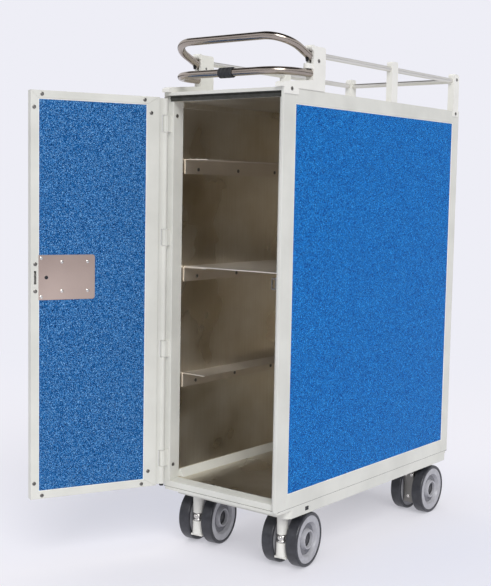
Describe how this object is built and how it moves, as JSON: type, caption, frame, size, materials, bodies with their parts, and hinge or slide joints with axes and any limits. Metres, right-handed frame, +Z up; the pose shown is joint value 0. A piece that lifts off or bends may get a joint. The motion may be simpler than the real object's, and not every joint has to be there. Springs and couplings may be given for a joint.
{
  "type": "catering trolley",
  "caption": "Narrow upright catering trolley: cabinet with a side-hung latching door, tray runners and a shelf, push handle under a brake bar, top gallery rail and swivel twin-wheel castors.",
  "frame": {"origin": "on the floor under the middle of the cabinet", "axes": "+Z up, +X across the trolley to the side away from the door hinge, -Y towards the door end"},
  "size_m": [0.4585, 1.0432, 1.1441],
  "materials": {
    "black_plastic": "satin",
    "black_rubber": "matte",
    "blue_laminate": "fine speckled laminate",
    "fastener_steel": "plain",
    "grey_hub": "satin",
    "grey_tyre": "matte",
    "liner_metal": "brushed",
    "stainless_tube": "polished",
    "white_painted_frame": "satin powder coat",
    "white_plastic": "satin"
  },
  "bodies": {
    "cabinet": {"base_tray": "white_painted_frame", "castor_housings": "fastener_steel", "front_post_left": "white_painted_frame", "front_post_right": "white_painted_frame", "rear_posts": "white_painted_frame", "side_rails": "white_painted_frame", "side_panels": "blue_laminate", "side_liners": "liner_metal", "rear_panel": "blue_laminate", "rear_liner": "liner_metal", "rear_rails": "white_painted_frame", "header_rail": "white_painted_frame", "front_sill": "white_painted_frame", "floor_panel": "liner_metal", "top_deck": "white_painted_frame", "runners": "liner_metal", "shelf": "liner_metal", "frame_screws": "fastener_steel", "latch_keeper": "fastener_steel", "handle_bracket_left": "white_plastic", "handle_bracket_right": "white_plastic", "lower_handle": "stainless_tube", "handle_sleeve": "black_rubber", "gallery_posts": "white_plastic", "gallery_rails": "stainless_tube", "hinge_knuckles": "white_painted_frame", "hinge_pin": "fastener_steel"},
    "brake_bar": {"brake_bar": "stainless_tube", "brake_bar_studs": "black_rubber"},
    "door": {"door_frame_bottom": "white_painted_frame", "door_frame_free_side": "white_painted_frame", "door_frame_top": "white_painted_frame", "door_frame_hinge_side": "white_painted_frame", "door_panel": "blue_laminate", "hinge_profile": "white_painted_frame", "latch_cover_plate": "stainless_tube", "door_fasteners": "fastener_steel", "latch_dish": "black_plastic"},
    "latch_lever": {"latch_lever": "black_plastic"},
    "latch_hook": {"latch_hook": "fastener_steel"},
    "castor_front_left": {"front_left_leg": "white_painted_frame"},
    "front_left_wheel_left": {"front_left_hub_left": "grey_hub", "front_left_tyre_left": "grey_tyre"},
    "front_left_wheel_right": {"front_left_hub_right": "grey_hub", "front_left_tyre_right": "grey_tyre"},
    "castor_front_right": {"front_right_leg": "white_painted_frame"},
    "front_right_wheel_left": {"front_right_hub_left": "grey_hub", "front_right_tyre_left": "grey_tyre"},
    "front_right_wheel_right": {"front_right_hub_right": "grey_hub", "front_right_tyre_right": "grey_tyre"},
    "castor_rear_left": {"rear_left_leg": "fastener_steel"},
    "rear_left_wheel_left": {"rear_left_hub_left": "grey_hub", "rear_left_tyre_left": "grey_tyre"},
    "rear_left_wheel_right": {"rear_left_hub_right": "grey_hub", "rear_left_tyre_right": "grey_tyre"},
    "castor_rear_right": {"rear_right_leg": "fastener_steel"},
    "rear_right_wheel_left": {"rear_right_hub_left": "grey_hub", "rear_right_tyre_left": "grey_tyre"},
    "rear_right_wheel_right": {"rear_right_hub_right": "grey_hub", "rear_right_tyre_right": "grey_tyre"}
  },
  "joints": [
    {"name": "door_hinge", "type": "hinge", "parent": "cabinet", "child": "door", "pos_m": [-0.1582, -0.382, 0.588], "axis": [0, 0, 1], "range_deg": [-95.5, 114.5]},
    {"name": "latch_lever_turn", "type": "hinge", "parent": "door", "child": "latch_lever", "pos_m": [-0.2592, -0.58071, 0.63], "axis": [0.91, -0.4147, 0], "range_deg": [0, 90]},
    {"name": "latch_hook_swing", "type": "hinge", "parent": "door", "child": "latch_hook", "pos_m": [-0.27834, -0.65166, 0.636], "axis": [-0.4147, -0.91, 0], "range_deg": [0, 80]},
    {"name": "brake_bar_squeeze", "type": "hinge", "parent": "cabinet", "child": "brake_bar", "pos_m": [0, -0.262, 1.0915], "axis": [1, 0, 0], "range_deg": [0, 16], "stiffness_Nm_per_rad": 6, "springref_deg": -14.32},
    {"name": "front_left_swivel", "type": "hinge", "parent": "cabinet", "child": "castor_front_left", "pos_m": [-0.12, -0.295, 0.13], "axis": [0, 0, 1], "continuous": true},
    {"name": "front_left_wheel_left_spin", "type": "hinge", "parent": "castor_front_left", "child": "front_left_wheel_left", "pos_m": [-0.12628, -0.25246, 0.0605], "axis": [0.9893, 0.1461, 0], "continuous": true},
    {"name": "front_left_wheel_right_spin", "type": "hinge", "parent": "castor_front_left", "child": "front_left_wheel_right", "pos_m": [-0.12628, -0.25246, 0.0605], "axis": [0.9893, 0.1461, 0], "continuous": true},
    {"name": "front_right_swivel", "type": "hinge", "parent": "cabinet", "child": "castor_front_right", "pos_m": [0.12, -0.295, 0.13], "axis": [0, 0, 1], "continuous": true},
    {"name": "front_right_wheel_left_spin", "type": "hinge", "parent": "castor_front_right", "child": "front_right_wheel_left", "pos_m": [0.11498, -0.25229, 0.0605], "axis": [0.9932, 0.1167, 0], "continuous": true},
    {"name": "front_right_wheel_right_spin", "type": "hinge", "parent": "castor_front_right", "child": "front_right_wheel_right", "pos_m": [0.11498, -0.25229, 0.0605], "axis": [0.9932, 0.1167, 0], "continuous": true},
    {"name": "rear_left_swivel", "type": "hinge", "parent": "cabinet", "child": "castor_rear_left", "pos_m": [-0.12, 0.276, 0.13], "axis": [0, 0, 1], "continuous": true},
    {"name": "rear_left_wheel_left_spin", "type": "hinge", "parent": "castor_rear_left", "child": "rear_left_wheel_left", "pos_m": [-0.12084, 0.29999, 0.0605], "axis": [0.9994, 0.0349, 0], "continuous": true},
    {"name": "rear_left_wheel_right_spin", "type": "hinge", "parent": "castor_rear_left", "child": "rear_left_wheel_right", "pos_m": [-0.12084, 0.29999, 0.0605], "axis": [0.9994, 0.0349, 0], "continuous": true},
    {"name": "rear_right_swivel", "type": "hinge", "parent": "cabinet", "child": "castor_rear_right", "pos_m": [0.12, 0.276, 0.13], "axis": [0, 0, 1], "continuous": true},
    {"name": "rear_right_wheel_left_spin", "type": "hinge", "parent": "castor_rear_right", "child": "rear_right_wheel_left", "pos_m": [0.11966, 0.3, 0.0605], "axis": [0.9999, 0.014, 0], "continuous": true},
    {"name": "rear_right_wheel_right_spin", "type": "hinge", "parent": "castor_rear_right", "child": "rear_right_wheel_right", "pos_m": [0.11966, 0.3, 0.0605], "axis": [0.9999, 0.014, 0], "continuous": true}
  ],
  "couplings": [
    {"joint": "latch_hook_swing", "follows": "latch_lever_turn", "ratio": 0.88889}
  ]
}
